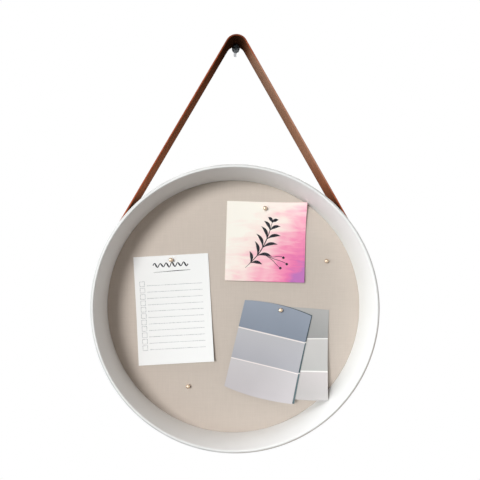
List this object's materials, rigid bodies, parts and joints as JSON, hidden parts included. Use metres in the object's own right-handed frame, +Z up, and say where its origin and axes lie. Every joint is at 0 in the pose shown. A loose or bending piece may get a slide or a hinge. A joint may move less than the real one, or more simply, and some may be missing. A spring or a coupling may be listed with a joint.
{
  "type": "cork board",
  "caption": "Round cork board covered in fabric, set deep in a white ring and hung on a leather strap from a wall screw, with push pins, a memo sheet, a card and colour cards.",
  "frame": {"origin": "where the wall screw's axis meets the wall plane", "axes": "+Z up, +Y into the wall, so the board looks towards -Y, and +X to the right as seen from the front"},
  "size_m": [0.3902, 0.0896, 0.567],
  "materials": {
    "lacquer": "turned board with a smooth satin white lacquer",
    "fabric": "fine plain-woven cloth, matt, beige",
    "cork": "pressed cork granules",
    "hardboard": "brown pressed fibre board",
    "leather": "smooth tan-brown leather with burnished edges",
    "black_steel": "black coated steel, satin",
    "steel": "bright zinc-plated steel",
    "brass": "polished brass",
    "memo_paper": "white paper with grey rules and check boxes",
    "printed_card": "matt card with a pink and cream wash",
    "warm_grey_card": "matt card with three warm grey bands",
    "dark_card": "matt dark blue-green card",
    "blue_grey_card": "matt card with three blue-grey bands"
  },
  "bodies": {
    "wall_screw": {"wall_screw": "black_steel"},
    "board": {"rim": "lacquer", "strap": "leather", "strap_screw_left_front": "steel", "strap_screw_left_rear": "steel", "strap_screw_right_front": "steel", "strap_screw_right_rear": "steel", "fabric_cover": "fabric", "cork_sheet": "cork", "back_panel": "hardboard", "framers_point_1": "steel", "framers_point_2": "steel", "framers_point_3": "steel", "framers_point_4": "steel", "framers_point_5": "steel", "framers_point_6": "steel", "framers_point_7": "steel", "framers_point_8": "steel"},
    "memo": {"memo_sheet": "memo_paper"},
    "card": {"square_card": "printed_card"},
    "colour_cards": {"colour_card_rear": "warm_grey_card", "colour_card_dark": "dark_card", "colour_card_front": "blue_grey_card"},
    "memo_pin": {"pin_head_memo": "brass", "pin_needle_memo": "steel"},
    "card_pin": {"pin_head_card": "brass", "pin_needle_card": "steel"},
    "colour_pin": {"pin_head_colours": "brass", "pin_needle_colours": "steel"},
    "spare_pin_right": {"pin_head_spare_right": "brass", "pin_needle_spare_right": "steel"},
    "spare_pin_left": {"pin_head_spare_left": "brass", "pin_needle_spare_left": "steel"}
  },
  "joints": [
    {"name": "board_swing", "type": "hinge", "parent": "wall_screw", "child": "board", "pos_m": [0, 0, 0], "axis": [0, 1, 0], "range_deg": [-15, 15]},
    {"name": "memo_turn", "type": "hinge", "parent": "board", "child": "memo", "pos_m": [-0.08966, -0.016, -0.30338], "axis": [0, 1, 0], "range_deg": [-5, 6]},
    {"name": "card_turn", "type": "hinge", "parent": "board", "child": "card", "pos_m": [0.04359, -0.016, -0.22855], "axis": [0, 1, 0], "range_deg": [0, 8]},
    {"name": "colour_cards_turn", "type": "hinge", "parent": "board", "child": "colour_cards", "pos_m": [0.06686, -0.016, -0.37338], "axis": [0, 1, 0], "range_deg": [0, 6]},
    {"name": "memo_pin_pull", "type": "slide", "parent": "board", "child": "memo_pin", "axis": [0, -1, 0], "range_m": [0, 0.012]},
    {"name": "card_pin_pull", "type": "slide", "parent": "board", "child": "card_pin", "axis": [0, -1, 0], "range_m": [0, 0.012]},
    {"name": "colour_pin_pull", "type": "slide", "parent": "board", "child": "colour_pin", "axis": [0, -1, 0], "range_m": [0, 0.012]},
    {"name": "spare_pin_right_pull", "type": "slide", "parent": "board", "child": "spare_pin_right", "axis": [0, -1, 0], "range_m": [0, 0.012]},
    {"name": "spare_pin_left_pull", "type": "slide", "parent": "board", "child": "spare_pin_left", "axis": [0, -1, 0], "range_m": [0, 0.012]}
  ]
}
